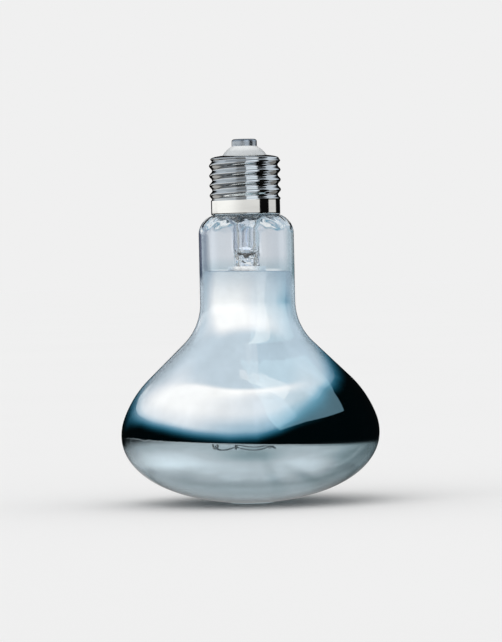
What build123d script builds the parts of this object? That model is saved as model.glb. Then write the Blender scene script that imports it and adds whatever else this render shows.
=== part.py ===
from build123d import *
from math import acos, cos, degrees, radians, sin, sqrt
import os

# Reflector bulb with a screw cap, standing on its domed face with the cap up.
# Lengths are in millimetres and angles in degrees. Z is the bulb's axis, and Z = 0 is the middle of the face.

# Glass envelope
BULB_DIAMETER = 95.0
FACE_DEPTH = 25.4
FACE_FULLNESS = 0.77
SHOULDER_RADIUS = 18.0
SHOULDER_TURN = 20.0
UPPER_SHOULDER_RADIUS = 38.5
CONE_ANGLE = 45.8
FLARE_RADIUS = 20.8
NECK_DIAMETER = 35.0
NECK_LENGTH = 25.0
NECK_TOP_RADIUS = 7.3
SEAL_FILLET = 2.0
SEAL_LENGTH = 4.0
SEAL_CLEARANCE = 1.67
GLASS_WALL = 0.9

# Mirror film inside the glass
MIRROR_FILM = 0.15
MIRROR_GAP = 0.05
MIRROR_BELOW_WIDEST = 2.1
MIRROR_UP_NECK = 11.5
MIRROR_LOWER_TILT = 2.3
MIRROR_UPPER_TILT = 1.25

# Screw cap: the 27 mm round thread that lamp holders share
THREAD_CREST_DIAMETER = 26.3
THREAD_DEPTH = 1.05
THREAD_PITCH = 3.629
THREAD_LENGTH = 15.4
THREAD_START = -24.0
THREAD_SECTIONS = 7
SHELL_WALL = 0.3
COLLAR_STEP = 0.45
COLLAR_HEIGHT = 5.2
CAP_SEAT_GAP = 0.25
SHELL_TOP_RISE = 1.2
SHELL_MOUTH_DIAMETER = 16.6
CEMENT_HEIGHT = 4.6
INSULATOR_RISE = 3.4
INSULATOR_DEPTH = 3.0
INSULATOR_BULGE_RADIUS = 10.0
INSULATOR_GAP = 0.15
CONTACT_DIAMETER = 9.3
CONTACT_HEIGHT = 2.6
CONTACT_EDGE_RADIUS = 0.9
CONTACT_HOLE = 1.8
CONTACT_SOLDER_DEPTH = 1.6
CONTACT_SOLDER_RECESS = 0.1

# Glass stem
STEM_DIAMETER = 10.0
STEM_WALL = 1.0
STEM_LENGTH = 25.0
STEM_BELL_RADIUS = 5.0
STEM_RIM_RADIUS = 4.0
STEM_BELL_ANGLE = 35.0
STEM_RIM_BAND = 2.5
PRESS_HEIGHT = 7.0
PRESS_THICKNESS = 4.4
PRESS_TAPER = 3.0
EXHAUST_DIAMETER = 3.8
EXHAUST_BORE = 2.3
EXHAUST_RISE = 1.5
EXHAUST_TIP = 3.0
BLOW_HOLE_DEPTH = 1.6

# Wires, heat shield and filament mount
LEAD_DIAMETER = 0.7
LEAD_BEND = 1.2
LEAD_OVER_SEAL = 2.2
LEAD_EXIT_HEIGHT = 1.7
NOTCH_CLEARANCE = 0.1
SIDE_SOLDER_WIDTH = 3.0
SIDE_SOLDER_HEIGHT = 1.0
SHIELD_DIAMETER = 14.0
SHIELD_SHEET = 0.35
SHIELD_DEPTH = 1.8
SHIELD_HOLE_GAP = 0.1
ARBOR_DIAMETER = 3.0
BUTTON_DIAMETER = 6.4
BUTTON_THICKNESS = 4.0
BUTTON_RISE = 11.5
SUPPORT_DIAMETER = 0.4
SUPPORT_ROOT = 1.0
SUPPORT_STUB = 2.0
FILAMENT_DIAMETER = 0.8
FILAMENT_RING_DIAMETER = 22.0
FILAMENT_SHIFT = -2.0
FILAMENT_BELOW_WIDEST = 4.6
FILAMENT_SAG = 1.2
RING_POINTS = 5
RING_START = 180.0
HOOK_GAP = 0.15
HOOK_DROP = 3.0
HOOK_TURN = 250.0

# Radii, turns and heights that follow from the sizes above
bulb_radius = BULB_DIAMETER / 2
neck_radius = NECK_DIAMETER / 2
crest_radius = THREAD_CREST_DIAMETER / 2
root_radius = crest_radius - THREAD_DEPTH
collar_radius = crest_radius - COLLAR_STEP
shell_inside = root_radius - SHELL_WALL
seal_radius = shell_inside - SEAL_CLEARANCE
lower_turn = radians(SHOULDER_TURN)
cone_turn = radians(CONE_ANGLE)
top_turn = acos(1 - (neck_radius - seal_radius) / (NECK_TOP_RADIUS + SEAL_FILLET))
cone_run_in = (
    bulb_radius
    - neck_radius
    - SHOULDER_RADIUS * (1 - cos(lower_turn))
    - UPPER_SHOULDER_RADIUS * (cos(lower_turn) - cos(cone_turn))
    - FLARE_RADIUS * (1 - cos(cone_turn))
)
cone_length = cone_run_in / sin(cone_turn)
neck_bottom = (
    FACE_DEPTH
    + SHOULDER_RADIUS * sin(lower_turn)
    + UPPER_SHOULDER_RADIUS * (sin(cone_turn) - sin(lower_turn))
    + cone_length * cos(cone_turn)
    + FLARE_RADIUS * sin(cone_turn)
)
neck_top = neck_bottom + NECK_LENGTH
seal_bottom = neck_top + (NECK_TOP_RADIUS + SEAL_FILLET) * sin(top_turn)
seal_top = seal_bottom + SEAL_LENGTH

# The collar's edge stands just clear of the rounded neck top at the collar's own radius
rim_reach = collar_radius - (neck_radius - NECK_TOP_RADIUS)
rim = neck_top + sqrt(NECK_TOP_RADIUS**2 - rim_reach**2) + CAP_SEAT_GAP
thread_bottom = rim + COLLAR_HEIGHT
thread_top = thread_bottom + THREAD_LENGTH
shell_top = thread_top + SHELL_TOP_RISE
insulator_top = shell_top + INSULATOR_RISE
contact_top = insulator_top + CONTACT_HEIGHT

press_bottom = seal_top - STEM_LENGTH
press_top = press_bottom + PRESS_HEIGHT
stem_radius = STEM_DIAMETER / 2
exhaust_radius = EXHAUST_DIAMETER / 2
exhaust_top = seal_top + EXHAUST_RISE
lead_radius = LEAD_DIAMETER / 2
lead_offset = (exhaust_radius + stem_radius - STEM_WALL) / 2
lead_top = contact_top - CONTACT_SOLDER_RECESS - CONTACT_SOLDER_DEPTH
lead_exit = rim + LEAD_EXIT_HEIGHT
filament_height = FACE_DEPTH - FILAMENT_BELOW_WIDEST
button_height = filament_height + BUTTON_RISE


def lathe(outline):
    """Solid turned about Z from a closed outline drawn with X as radius and Y as height."""
    return revolve(Rot(X=90) * make_face(outline), Axis.Z)


def ahead(edge, length):
    """Straight line that goes on from the end of an edge."""
    return Line(edge @ 1, edge @ 1 + (edge % 1) * length)


def turn(edge, radius, angle):
    """Arc that goes on from the end of an edge: a positive angle turns towards the axis."""
    return JernArc(edge @ 1, edge % 1, radius, angle)


def bulb_outline(inset):
    """Edges from the middle of the face to the top of the seal tube, moved into the glass by inset."""
    radius = bulb_radius - inset
    face = Bezier((0, inset), (radius, inset), (radius, FACE_DEPTH), weights=(1, FACE_FULLNESS, 1))
    shoulder = turn(face, SHOULDER_RADIUS - inset, SHOULDER_TURN)
    upper_shoulder = turn(shoulder, UPPER_SHOULDER_RADIUS - inset, CONE_ANGLE - SHOULDER_TURN)
    cone = ahead(upper_shoulder, cone_length)
    flare = turn(cone, FLARE_RADIUS + inset, -CONE_ANGLE)
    neck = ahead(flare, NECK_LENGTH)
    rounded_top = turn(neck, NECK_TOP_RADIUS - inset, degrees(top_turn))
    fillet_up = turn(rounded_top, SEAL_FILLET + inset, -degrees(top_turn))
    seal = ahead(fillet_up, SEAL_LENGTH)
    return [face, shoulder, upper_shoulder, cone, flare, neck, rounded_top, fillet_up, seal]


def bulb_layer(outside, inside):
    """Solid between two outlines of the bulb, open at the top of the seal tube."""
    outer = bulb_outline(outside)
    inner = bulb_outline(inside)
    middle = Line(outer[0] @ 0, inner[0] @ 0)
    top = Line(outer[-1] @ 1, inner[-1] @ 1)
    return lathe(outer + [top] + inner + [middle])


def make_mirror():
    """Film that lines the glass between two mask edges, each a little out of level."""
    film = bulb_layer(GLASS_WALL + MIRROR_GAP, GLASS_WALL + MIRROR_GAP + MIRROR_FILM)
    lower_tilt = radians(MIRROR_LOWER_TILT)
    upper_tilt = radians(MIRROR_UPPER_TILT)
    lower_edge = Plane((0, 0, FACE_DEPTH - MIRROR_BELOW_WIDEST), z_dir=(sin(lower_tilt), 0, cos(lower_tilt)))
    upper_edge = Plane((0, 0, neck_bottom + MIRROR_UP_NECK), z_dir=(sin(upper_tilt), 0, cos(upper_tilt)))
    film = split(film, bisect_by=lower_edge, keep=Keep.TOP)
    return split(film, bisect_by=upper_edge, keep=Keep.BOTTOM)


def thread_circle(radius, height):
    """Cross-section of the round thread: a circle off the axis by half the thread's depth."""
    angle = THREAD_START + 360 * (height - thread_bottom) / THREAD_PITCH
    centre = Vector(THREAD_DEPTH / 2, 0, height).rotate(Axis.Z, angle)
    return Pos(centre) * Circle(radius)


def thread_column(radius, bottom, top):
    """Round-thread column: a smooth skin over level circles whose centres wind round the axis."""
    count = round(THREAD_SECTIONS * (top - bottom) / THREAD_PITCH)
    heights = [bottom + (top - bottom) * step / count for step in range(count + 1)]
    return loft([thread_circle(radius, height).face() for height in heights])


def cylinder(radius, bottom, top):
    """Upright round column on the axis."""
    return extrude(Pos(Z=bottom) * Circle(radius), top - bottom)


def cap_column(inset):
    """Outside of the screw shell, or its inside when moved in by the thickness of the sheet."""
    mean_radius = (crest_radius + root_radius) / 2 - inset
    bottom = thread_bottom - inset
    top = thread_top - inset
    mouth = Pos(Z=shell_top - inset) * Circle(SHELL_MOUTH_DIAMETER / 2)
    collar = cylinder(collar_radius - inset, rim, bottom)
    shoulder = loft([thread_circle(mean_radius, top).face(), mouth.face()], ruled=True)
    return collar + thread_column(mean_radius, bottom, top) + shoulder


def make_screw_shell(notch):
    """Thin sheet shell with its rolled thread, open below and at the mouth above."""
    mouth = cylinder(SHELL_MOUTH_DIAMETER / 2, shell_top - 2 * SHELL_WALL, shell_top)
    ledge_bottom = thread_bottom - SHELL_WALL
    ledge_top = thread_bottom + SHELL_WALL
    ledge = cylinder(crest_radius, ledge_bottom, ledge_top)
    ledge -= cylinder(collar_radius - SHELL_WALL, ledge_bottom, ledge_top)
    inside = cap_column(SHELL_WALL) - ledge
    return cap_column(0) - inside - mouth - notch


def make_insulator():
    """White moulding: a flange held inside the shell and a dome that carries the contact."""
    hole = CONTACT_HOLE / 2
    flange = shell_inside - INSULATOR_GAP
    neck = SHELL_MOUTH_DIAMETER / 2 - INSULATOR_GAP
    flange_bottom = thread_top - INSULATOR_DEPTH
    flange_top = thread_top - SHELL_WALL - INSULATOR_GAP
    seat = (CONTACT_DIAMETER / 2, insulator_top)
    wall = Polyline(
        seat,
        (hole, insulator_top),
        (hole, flange_bottom),
        (flange, flange_bottom),
        (flange, flange_top),
        (neck, flange_top),
        (neck, shell_top),
    )
    dome = RadiusArc(wall @ 1, seat, -INSULATOR_BULGE_RADIUS)
    return lathe(wall.edges() + [dome])


def make_contact():
    """Round contact with a rounded top edge and the hole that takes the lead."""
    body = cylinder(CONTACT_DIAMETER / 2, insulator_top, contact_top)
    body = fillet(body.edges().sort_by(Axis.Z)[-1], CONTACT_EDGE_RADIUS)
    return body - cylinder(CONTACT_HOLE / 2, insulator_top, contact_top)


def stem_outline(inset):
    """Edges of the stem from the top of the press to the fused rim, moved into the glass by inset."""
    rim_radius = seal_radius - GLASS_WALL
    bell_turn = radians(STEM_BELL_ANGLE)
    run_out = rim_radius - stem_radius - (STEM_BELL_RADIUS + STEM_RIM_RADIUS) * (1 - cos(bell_turn))
    slope = run_out / sin(bell_turn)
    bell_height = (STEM_BELL_RADIUS + STEM_RIM_RADIUS) * sin(bell_turn) + slope * cos(bell_turn)
    tube_top = seal_top - STEM_RIM_BAND - bell_height
    tube = Line((stem_radius - inset, press_top), (stem_radius - inset, tube_top))
    bell = turn(tube, STEM_BELL_RADIUS + inset, -STEM_BELL_ANGLE)
    cone = ahead(bell, slope)
    rim_turn = turn(cone, STEM_RIM_RADIUS - inset, STEM_BELL_ANGLE)
    band = ahead(rim_turn, STEM_RIM_BAND)
    return [tube, bell, cone, rim_turn, band]


def make_stem():
    """Flared tube whose lower end is pressed flat round the leads, with the blow hole in the press."""
    outer = stem_outline(0)
    inner = stem_outline(STEM_WALL)
    foot = Line(outer[0] @ 0, inner[0] @ 0)
    top = Line(outer[-1] @ 1, inner[-1] @ 1)
    tube = lathe(outer + [top] + inner + [foot])

    half = PRESS_THICKNESS / 2
    taper_bottom = press_top - PRESS_TAPER
    jaws = Polyline(
        (-half, press_bottom),
        (half, press_bottom),
        (half, taper_bottom),
        (stem_radius, press_top),
        (-stem_radius, press_top),
        (-half, taper_bottom),
        close=True,
    )
    flats = extrude(Plane.YZ * make_face(jaws), STEM_DIAMETER, both=True)
    press = cylinder(stem_radius, press_bottom, press_top) & flats

    blow_height = press_top - BLOW_HOLE_DEPTH
    bore = cylinder(EXHAUST_BORE / 2, blow_height, press_top)
    blow_hole = Pos(Z=blow_height) * extrude(Plane.XZ * Circle(EXHAUST_BORE / 2), -STEM_DIAMETER)
    stem = tube + press - bore - blow_hole
    for side in (-1, 1):
        stem -= Pos(X=side * lead_offset) * cylinder(lead_radius, press_bottom, press_top)
    return stem


def quarter_ellipse(start, end):
    """Quarter of an ellipse that leaves upright from its start and lands level on the axis."""
    return Bezier(start, (start[0], end[1]), end, weights=(1, sqrt(0.5), 1))


def make_exhaust_tube():
    """Narrow tube that stands on the press, sealed off at its top."""
    bore = EXHAUST_BORE / 2
    shoulder = exhaust_top - EXHAUST_TIP
    bore_top = exhaust_top - (exhaust_radius - bore)
    outer_tip = quarter_ellipse((exhaust_radius, shoulder), (0, exhaust_top))
    inner_tip = quarter_ellipse((bore, shoulder), (0, bore_top))
    wall = Polyline((exhaust_radius, shoulder), (exhaust_radius, press_top), (bore, press_top), (bore, shoulder))
    tip = Line((0, exhaust_top), (0, bore_top))
    return lathe([outer_tip, tip, inner_tip] + wall.edges())


def round_wire(edges, diameter):
    """Round wire along edges that run on smoothly: straight runs are extruded, bends turn about their centre."""
    wire = Part()
    for edge in edges:
        heading = edge % 0
        section = Plane(edge @ 0, z_dir=heading) * Circle(diameter / 2)
        if edge.geom_type == GeomType.LINE:
            wire += extrude(section, edge.length)
        else:
            spoke = edge @ 0 - edge.arc_center
            wire += revolve(section, Axis(edge.arc_center, spoke.cross(heading)), degrees(edge.length / edge.radius))
    return wire


def ring_angle(index):
    """Direction of one of the points that hold the filament, counted from the left."""
    return RING_START + 360 / RING_POINTS * index


def ring_point(index):
    """Centre of the filament at one of its points of support."""
    angle = radians(ring_angle(index))
    reach = FILAMENT_RING_DIAMETER / 2
    return Vector(FILAMENT_SHIFT + reach * cos(angle), reach * sin(angle), filament_height)


def hooked_wire(points, index, diameter):
    """Wire along the points, then straight down beside the filament and round under it in an open hook."""
    angle = radians(ring_angle(index))
    outward = Vector(cos(angle), sin(angle), 0)
    seat = ring_point(index)
    hook_radius = (FILAMENT_DIAMETER + diameter) / 2 + HOOK_GAP
    beside = seat + outward * hook_radius
    above = beside + Vector(0, 0, HOOK_DROP)
    route = FilletPolyline(*points, above, beside, radius=LEAD_BEND)
    hook_plane = Plane(seat, x_dir=outward, z_dir=outward.cross(Vector(0, 0, 1)))
    hook = hook_plane * CenterArc((0, 0), hook_radius, 0, -HOOK_TURN)
    return round_wire(route.edges() + hook.edges(), diameter)


def make_centre_lead():
    """Wire from the centre contact down the left of the stem to the start of the filament."""
    above_tip = exhaust_top + LEAD_OVER_SEAL
    points = [
        (0, 0, lead_top),
        (0, 0, above_tip + lead_offset),
        (-lead_offset, 0, above_tip),
        (-lead_offset, 0, press_bottom - SHIELD_DEPTH),
    ]
    return hooked_wire(points, 0, LEAD_DIAMETER)


def make_side_lead():
    """Wire from the collar over the seal and down the right of the stem to the end of the filament."""
    gap_radius = (seal_radius + shell_inside) / 2
    over_seal = seal_top + LEAD_OVER_SEAL
    points = [
        (0, collar_radius + SIDE_SOLDER_HEIGHT / 2, lead_exit),
        (0, gap_radius, lead_exit),
        (0, gap_radius, over_seal),
        (lead_offset, 0, over_seal),
        (lead_offset, 0, press_bottom - SHIELD_DEPTH),
    ]
    return hooked_wire(points, RING_POINTS - 1, LEAD_DIAMETER)


def make_notch():
    """Cut in the collar's edge that lets the side lead out."""
    reach = lead_radius + NOTCH_CLEARANCE
    height = LEAD_EXIT_HEIGHT + reach
    block = Box(2 * reach, 2 * collar_radius, height, align=(Align.CENTER, Align.MIN, Align.MIN))
    return Pos(Z=rim) * block


def make_side_solder(lead):
    """Bead of solder on the outside of the collar, round the end of the side lead."""
    half_width = SIDE_SOLDER_WIDTH / 2
    ball_radius = (half_width**2 + SIDE_SOLDER_HEIGHT**2) / (2 * SIDE_SOLDER_HEIGHT)
    ball = Pos(Y=collar_radius + SIDE_SOLDER_HEIGHT - ball_radius, Z=lead_exit) * Sphere(ball_radius)
    return ball - cylinder(collar_radius, rim - COLLAR_HEIGHT, thread_bottom) - lead


def make_contact_solder():
    """Solder that fills the contact's hole above the end of the centre lead."""
    return cylinder(CONTACT_HOLE / 2, lead_top, contact_top - CONTACT_SOLDER_RECESS)


def make_cement(lead):
    """Cement between the collar and the neck's top, with the side lead set in it."""
    outside = bulb_outline(0)
    closing = Polyline(outside[-1] @ 1, (0, seal_top), outside[0] @ 0)
    glass_form = lathe(outside + closing.edges())
    return cylinder(collar_radius - SHELL_WALL, rim, rim + CEMENT_HEIGHT) - glass_form - lead


def make_heat_shield():
    """Shallow pressed dish under the press, with holes for the leads and the arbor."""
    radius = SHIELD_DIAMETER / 2
    dish = cylinder(radius, press_bottom - SHIELD_DEPTH, press_bottom)
    dish -= cylinder(radius - SHIELD_SHEET, press_bottom - SHIELD_DEPTH, press_bottom - SHIELD_SHEET)
    for side in (-1, 1):
        hole = cylinder(lead_radius + SHIELD_HOLE_GAP, press_bottom - SHIELD_DEPTH, press_bottom)
        dish -= Pos(X=side * lead_offset) * hole
    return dish - cylinder(ARBOR_DIAMETER / 2 + SHIELD_HOLE_GAP, press_bottom - SHIELD_DEPTH, press_bottom)


def make_support(index):
    """Thin wire from the arbor's button to one of the filament's points."""
    target = ring_point(index)
    direction = Vector(target.X, target.Y, 0).normalized()
    root = direction * SUPPORT_ROOT + Vector(0, 0, button_height)
    stub_end = direction * (BUTTON_DIAMETER / 2 + SUPPORT_STUB) + Vector(0, 0, button_height)
    return hooked_wire([root, stub_end], index, SUPPORT_DIAMETER)


def make_arbor(supports):
    """Glass rod under the press, with the flattened button that the supports are set in."""
    rod = cylinder(ARBOR_DIAMETER / 2, button_height, press_bottom)
    rim_arc = EllipticalCenterArc((0, button_height), BUTTON_DIAMETER / 2, BUTTON_THICKNESS / 2, -90, arc_size=180)
    button = lathe([rim_arc, Line(rim_arc @ 1, rim_arc @ 0)])
    arbor = rod + button
    for wire in supports:
        arbor -= wire
    return arbor


def make_filament():
    """Outer form of the coil: a ring of sagging spans, rounded where they meet at the points that hold it."""
    spans = []
    for index in range(RING_POINTS - 1):
        middle = ring_point(index + 0.5) - Vector(0, 0, FILAMENT_SAG)
        spans.append(ThreePointArc(ring_point(index), middle, ring_point(index + 1)))
    path = Wire(spans)
    section = Plane(path @ 0, z_dir=path % 0) * Circle(FILAMENT_DIAMETER / 2)
    return sweep(section, path=path, transition=Transition.ROUND)


side_lead = make_side_lead()
supports = [make_support(index) for index in range(1, RING_POINTS - 1)]

solids = {
    "glass_envelope": bulb_layer(0, GLASS_WALL),
    "mirror_coating": make_mirror(),
    "screw_shell": make_screw_shell(make_notch()),
    "basing_cement": make_cement(side_lead),
    "cap_insulator": make_insulator(),
    "centre_contact": make_contact(),
    "contact_solder": make_contact_solder(),
    "side_solder": make_side_solder(side_lead),
    "stem": make_stem(),
    "exhaust_tube": make_exhaust_tube(),
    "centre_lead": make_centre_lead(),
    "side_lead": side_lead,
    "heat_shield": make_heat_shield(),
    "arbor": make_arbor(supports),
    "filament": make_filament(),
}
for number, wire in enumerate(supports, start=1):
    solids[f"support_wire_{number}"] = wire

os.makedirs("parts", exist_ok=True)
for name, solid in solids.items():
    export_step(solid, f"parts/{name}.step")
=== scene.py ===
"""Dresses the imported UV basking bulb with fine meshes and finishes, and sets it on a plain pale stage."""

from math import acos, cos, degrees, exp, pi, radians, sin, tanh

import bmesh
import bpy
from bpy.props import FloatProperty, FloatVectorProperty, IntProperty, PointerProperty
from mathutils import Matrix, Vector, noise


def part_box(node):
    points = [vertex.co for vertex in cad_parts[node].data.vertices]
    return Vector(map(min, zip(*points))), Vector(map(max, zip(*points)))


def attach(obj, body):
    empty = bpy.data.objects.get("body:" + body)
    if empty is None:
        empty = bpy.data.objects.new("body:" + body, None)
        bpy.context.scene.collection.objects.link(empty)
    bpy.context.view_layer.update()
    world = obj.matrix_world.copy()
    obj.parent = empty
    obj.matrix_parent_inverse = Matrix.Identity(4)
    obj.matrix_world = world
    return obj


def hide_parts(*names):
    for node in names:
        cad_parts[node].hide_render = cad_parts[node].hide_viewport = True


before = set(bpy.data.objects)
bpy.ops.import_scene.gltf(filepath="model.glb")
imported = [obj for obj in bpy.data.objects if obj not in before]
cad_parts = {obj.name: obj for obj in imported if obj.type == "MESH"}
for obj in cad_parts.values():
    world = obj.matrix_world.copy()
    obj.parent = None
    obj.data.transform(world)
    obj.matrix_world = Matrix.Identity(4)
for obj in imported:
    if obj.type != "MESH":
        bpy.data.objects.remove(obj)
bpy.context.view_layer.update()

bl_info = {
    "name": "UV basking bulb",
    "version": (1, 0, 0),
    "blender": (4, 5, 0),
    "location": "View3D > Sidebar > Bulb",
    "description": "Fine glass, mirror, cap and filament for the basking bulb, and a plain stage",
    "category": "Object",
}

MM = 0.001
BODY = "root"

# Stage: floor, light tent and far cards, their sizes and their light
TENT_RADIUS = 52 * MM
TENT_HEIGHT = 420 * MM
TENT_GAIN = 1.25
CARD_RADIUS = 300 * MM
CARD_HEIGHT = 500 * MM
FOOT_RADIUS = 53 * MM
FLOOR_RADIUS = 40.0
WORLD_STRENGTH = 0.83
LAMP_STRENGTH = 0.7
LAMP_SPREAD = radians(60)
LAMP_HEADING = (0.5, 0.6, -0.9)
WINDOW_LIGHT = (0.08, 0.15, 0.19)
LEAF_LIGHT = (0.26, 0.26, 0.26)
STEEL_LIGHT = (0.48, 0.54, 0.62)
FACE_LIGHT = (0.84, 0.97, 1.05)
FACE_SHADE = (0.72, 1.0, 1.1)
NECK_LIGHT = (0.455, 0.485, 0.53)
TUBE_LIGHT = (0.36, 0.46, 0.6)
CROWN_LIGHT = (0.08, 0.22, 0.32)
WHITE_LIGHT = (1.2, 1.2, 1.2)

# Displayed levels of the tent, from 0 to 255: plain, its limits, and what the glow at the left, the band
# that the flare shows and the right side add
TENT_LEVEL = 203
LOWEST_LEVEL = 4
HIGHEST_LEVEL = 249
GLOW_LEVEL = 46
FLARE_LEVEL = 36
RIGHT_LEVEL = -9

# Walls of the clear neck at the left and right: light, direction in degrees where the wall ends, and the
# share, direction and width of the glint beside it
LEFT_NECK_WALL = ((0.12, 0.14, 0.2), 162, 0.2, 162.5, 2.5)
RIGHT_NECK_WALL = ((0.31, 0.38, 0.42), 160, 0.1, 161, 3)

# Light that is left where nothing shines
BLACK_LEVEL = 0.004


def node_size(name, axis):
    """Width of a CAD node along one axis, in metres."""
    low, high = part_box(name)
    return high[axis] - low[axis]


def node_top(name):
    """Highest point of a CAD node, in metres."""
    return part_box(name)[1].z


def node_bottom(name):
    """Lowest point of a CAD node, in metres."""
    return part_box(name)[0].z


def length_value(name, description, millimetres):
    """Property for a length, given in millimetres and kept in metres."""
    metres = millimetres * MM
    return FloatProperty(name=name, description=description, default=metres, unit="LENGTH", precision=5)


def number_value(name, description, value):
    """Property for a plain number."""
    return FloatProperty(name=name, description=description, default=value)


def angle_value(name, description, angle):
    """Property for an angle, given in degrees."""
    return FloatProperty(name=name, description=description, default=radians(angle), subtype="ANGLE")


def colour_value(name, description, red, green, blue):
    """Property for a colour, in scene-linear shares of light."""
    return FloatVectorProperty(
        name=name, description=description, default=(red, green, blue), subtype="COLOR", min=0.0, max=1.0
    )


class GlassSettings(bpy.types.PropertyGroup):
    """Sizes and colours of the blown glass, and the colour of the stem."""

    diameter: length_value("Diameter", "Widest ring of the glass", node_size("glass_envelope", 0) / MM)
    face_depth: length_value("Face depth", "Height of the widest ring over the middle of the face", 25.4)
    face_fullness: number_value("Face fullness", "Weight of the face's conic", 0.77)
    shoulder_radius: length_value("Shoulder radius", "Arc over the widest ring", 18.0)
    shoulder_turn: angle_value("Shoulder turn", "Turn of the shoulder's first arc", 20.0)
    upper_shoulder_radius: length_value("Upper shoulder radius", "Arc that leads into the cone", 38.5)
    cone_angle: angle_value("Cone angle", "Slope of the cone from upright", 45.8)
    flare_radius: length_value("Flare radius", "Hollow arc between cone and neck", 20.8)
    neck_diameter: length_value("Neck diameter", "Outside of the neck", 35.0)
    neck_length: length_value("Neck length", "Straight part of the neck", 25.0)
    neck_top_radius: length_value("Neck top radius", "Rounded shoulder under the cap", 7.3)
    seal_fillet: length_value("Seal fillet", "Hollow arc under the seal tube", 2.0)
    seal_radius: length_value("Seal radius", "Outside radius of the seal tube", 10.13)
    seal_length: length_value("Seal length", "Straight part of the seal tube", 4.0)
    wall: length_value("Wall", "Thickness of the glass", 0.9)
    ripple: length_value("Ripple", "Unevenness of the drawn-in glass under the cap", 0.3)
    tint: colour_value("Glass tint", "Colour of the clear glass", 0.965, 0.972, 0.972)
    frost: colour_value("Frost", "Colour of the satin face", 0.93, 0.95, 0.955)
    stem_tint: colour_value("Stem tint", "Colour of the stem's glass", 0.94, 0.96, 0.985)


class StemSettings(bpy.types.PropertyGroup):
    """Sizes of the glass stem."""

    diameter: length_value("Diameter", "Outside of the stem's tube", 10.0)
    wall: length_value("Wall", "Thickness of the tube", 1.0)
    bell_radius: length_value("Bell radius", "Hollow arc of the flare", 5.0)
    rim_radius: length_value("Rim radius", "Rounded arc of the flare", 4.0)
    bell_angle: angle_value("Bell angle", "Slope of the flare from upright", 35.0)
    rim_band: length_value("Rim band", "Straight part sealed to the neck", 2.5)
    press_height: length_value("Press height", "Flattened end round the leads", 5.7)
    press_thickness: length_value("Press thickness", "Between the flats", 4.4)
    bore_end: length_value("Bore end", "Depth of the closing end of the bore for one radian", 1.8)
    press_taper: length_value("Press taper", "Height over which the tube flattens", 5.3)
    crinkle: length_value("Crinkle", "Unevenness of the pressed glass", 0.5)
    crinkle_size: length_value("Crinkle size", "Width of one dent", 1.3)


class MirrorSettings(bpy.types.PropertyGroup):
    """Sizes and colour of the mirror film."""

    gap: length_value("Gap", "Clearance between glass and film", 0.05)
    film: length_value("Film", "Thickness of the film", 0.15)
    below_widest: length_value("Below widest", "Lower edge under the widest ring", 2.1)
    lower_tilt: angle_value("Lower tilt", "Fall of the lower edge towards the right", 2.3)
    upper_tilt: angle_value("Upper tilt", "Fall of the upper edge towards the right", 1.25)
    fray: length_value("Fray", "Depth of the nicks along the lower edge at the left", 0.45)
    colour: colour_value("Film colour", "Reflected colour of the aluminium film", 0.92, 0.925, 0.925)
    thin: colour_value("Thin film", "Share of the colour left at the upper edge", 0.5, 0.58, 0.65)


class CapSettings(bpy.types.PropertyGroup):
    """Sizes and colours of the screw cap."""

    crest_diameter: length_value("Crest diameter", "Over the crests of the thread", 26.3)
    thread_depth: length_value("Thread depth", "From crest to root", 1.05)
    pitch: length_value("Pitch", "Rise of the thread in one turn", 3.629)
    thread_length: length_value("Thread length", "Height of the threaded part", 15.4)
    thread_start: angle_value("Thread start", "Direction of the crest at the foot of the thread", -24.0)
    run_out: length_value("Run-out", "Height over which the thread fades at each end", 0.9)
    sheet: length_value("Sheet", "Thickness of the shell", 0.3)
    collar_step: length_value("Collar step", "Collar inside the crests", 0.45)
    collar_height: length_value("Collar height", "Plain band under the thread", 5.2)
    mouth_diameter: length_value("Mouth diameter", "Opening for the insulator", 16.6)
    notch_width: length_value("Notch width", "Cut for the side lead", 0.9)
    notch_height: length_value("Notch height", "Cut for the side lead", 2.15)
    plate: colour_value("Plate", "Nickel plate of the shell", 0.82, 0.82, 0.79)
    insulator: colour_value("Insulator", "White moulding under the contact", 0.87, 0.89, 0.89)
    contact: colour_value("Contact", "Metal of the centre contact", 0.46, 0.5, 0.53)
    solder: colour_value("Solder", "Dull solder", 0.55, 0.56, 0.57)
    cement: colour_value("Cement", "Basing cement", 0.22, 0.33, 0.42)


class WireSettings(bpy.types.PropertyGroup):
    """Sizes and colours of the filament and the wires."""

    ring_diameter: length_value("Ring diameter", "Circle through the filament's supports", 22.0)
    shift: length_value("Shift", "Middle of the ring from the axis, to the right", -2.0)
    sag: length_value("Sag", "Fall of each span between its supports", 1.2)
    coil_diameter: length_value("Coil diameter", "Over the turns of the coil", 0.6)
    wire_diameter: length_value("Wire diameter", "Wire of the coil", 0.14)
    coil_pitch: length_value("Coil pitch", "Distance between turns", 0.26)
    spans: IntProperty(name="Spans", description="Spans between supports", default=4, min=1)
    tungsten: colour_value("Tungsten", "Wire of the filament", 0.42, 0.44, 0.46)
    lead: colour_value("Lead wire", "Nickel-coated leads", 0.5, 0.49, 0.46)
    support: colour_value("Support wire", "Thin support wires", 0.36, 0.36, 0.37)
    shield: colour_value("Shield", "Bright sheet of the heat shield", 0.86, 0.87, 0.88)


class StageSettings(bpy.types.PropertyGroup):
    """Camera, floor and light."""

    lens: number_value("Lens", "Focal length in millimetres on a 36 mm sensor", 198.1)
    distance: length_value("Distance", "Camera from the axis", 1300.0)
    camera_height: length_value("Camera height", "Camera over the floor", 82.0)
    aim_height: length_value("Aim height", "Middle of the picture over the floor", 66.8)
    aim_right: length_value("Aim right", "Middle of the picture from the axis", 1.07)
    roll: angle_value("Roll", "Turn of the camera that lets the bulb's top lean left", 1.25)
    ground: colour_value("Ground", "Pale floor and background", 0.871, 0.871, 0.871)


# Meshes


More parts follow.
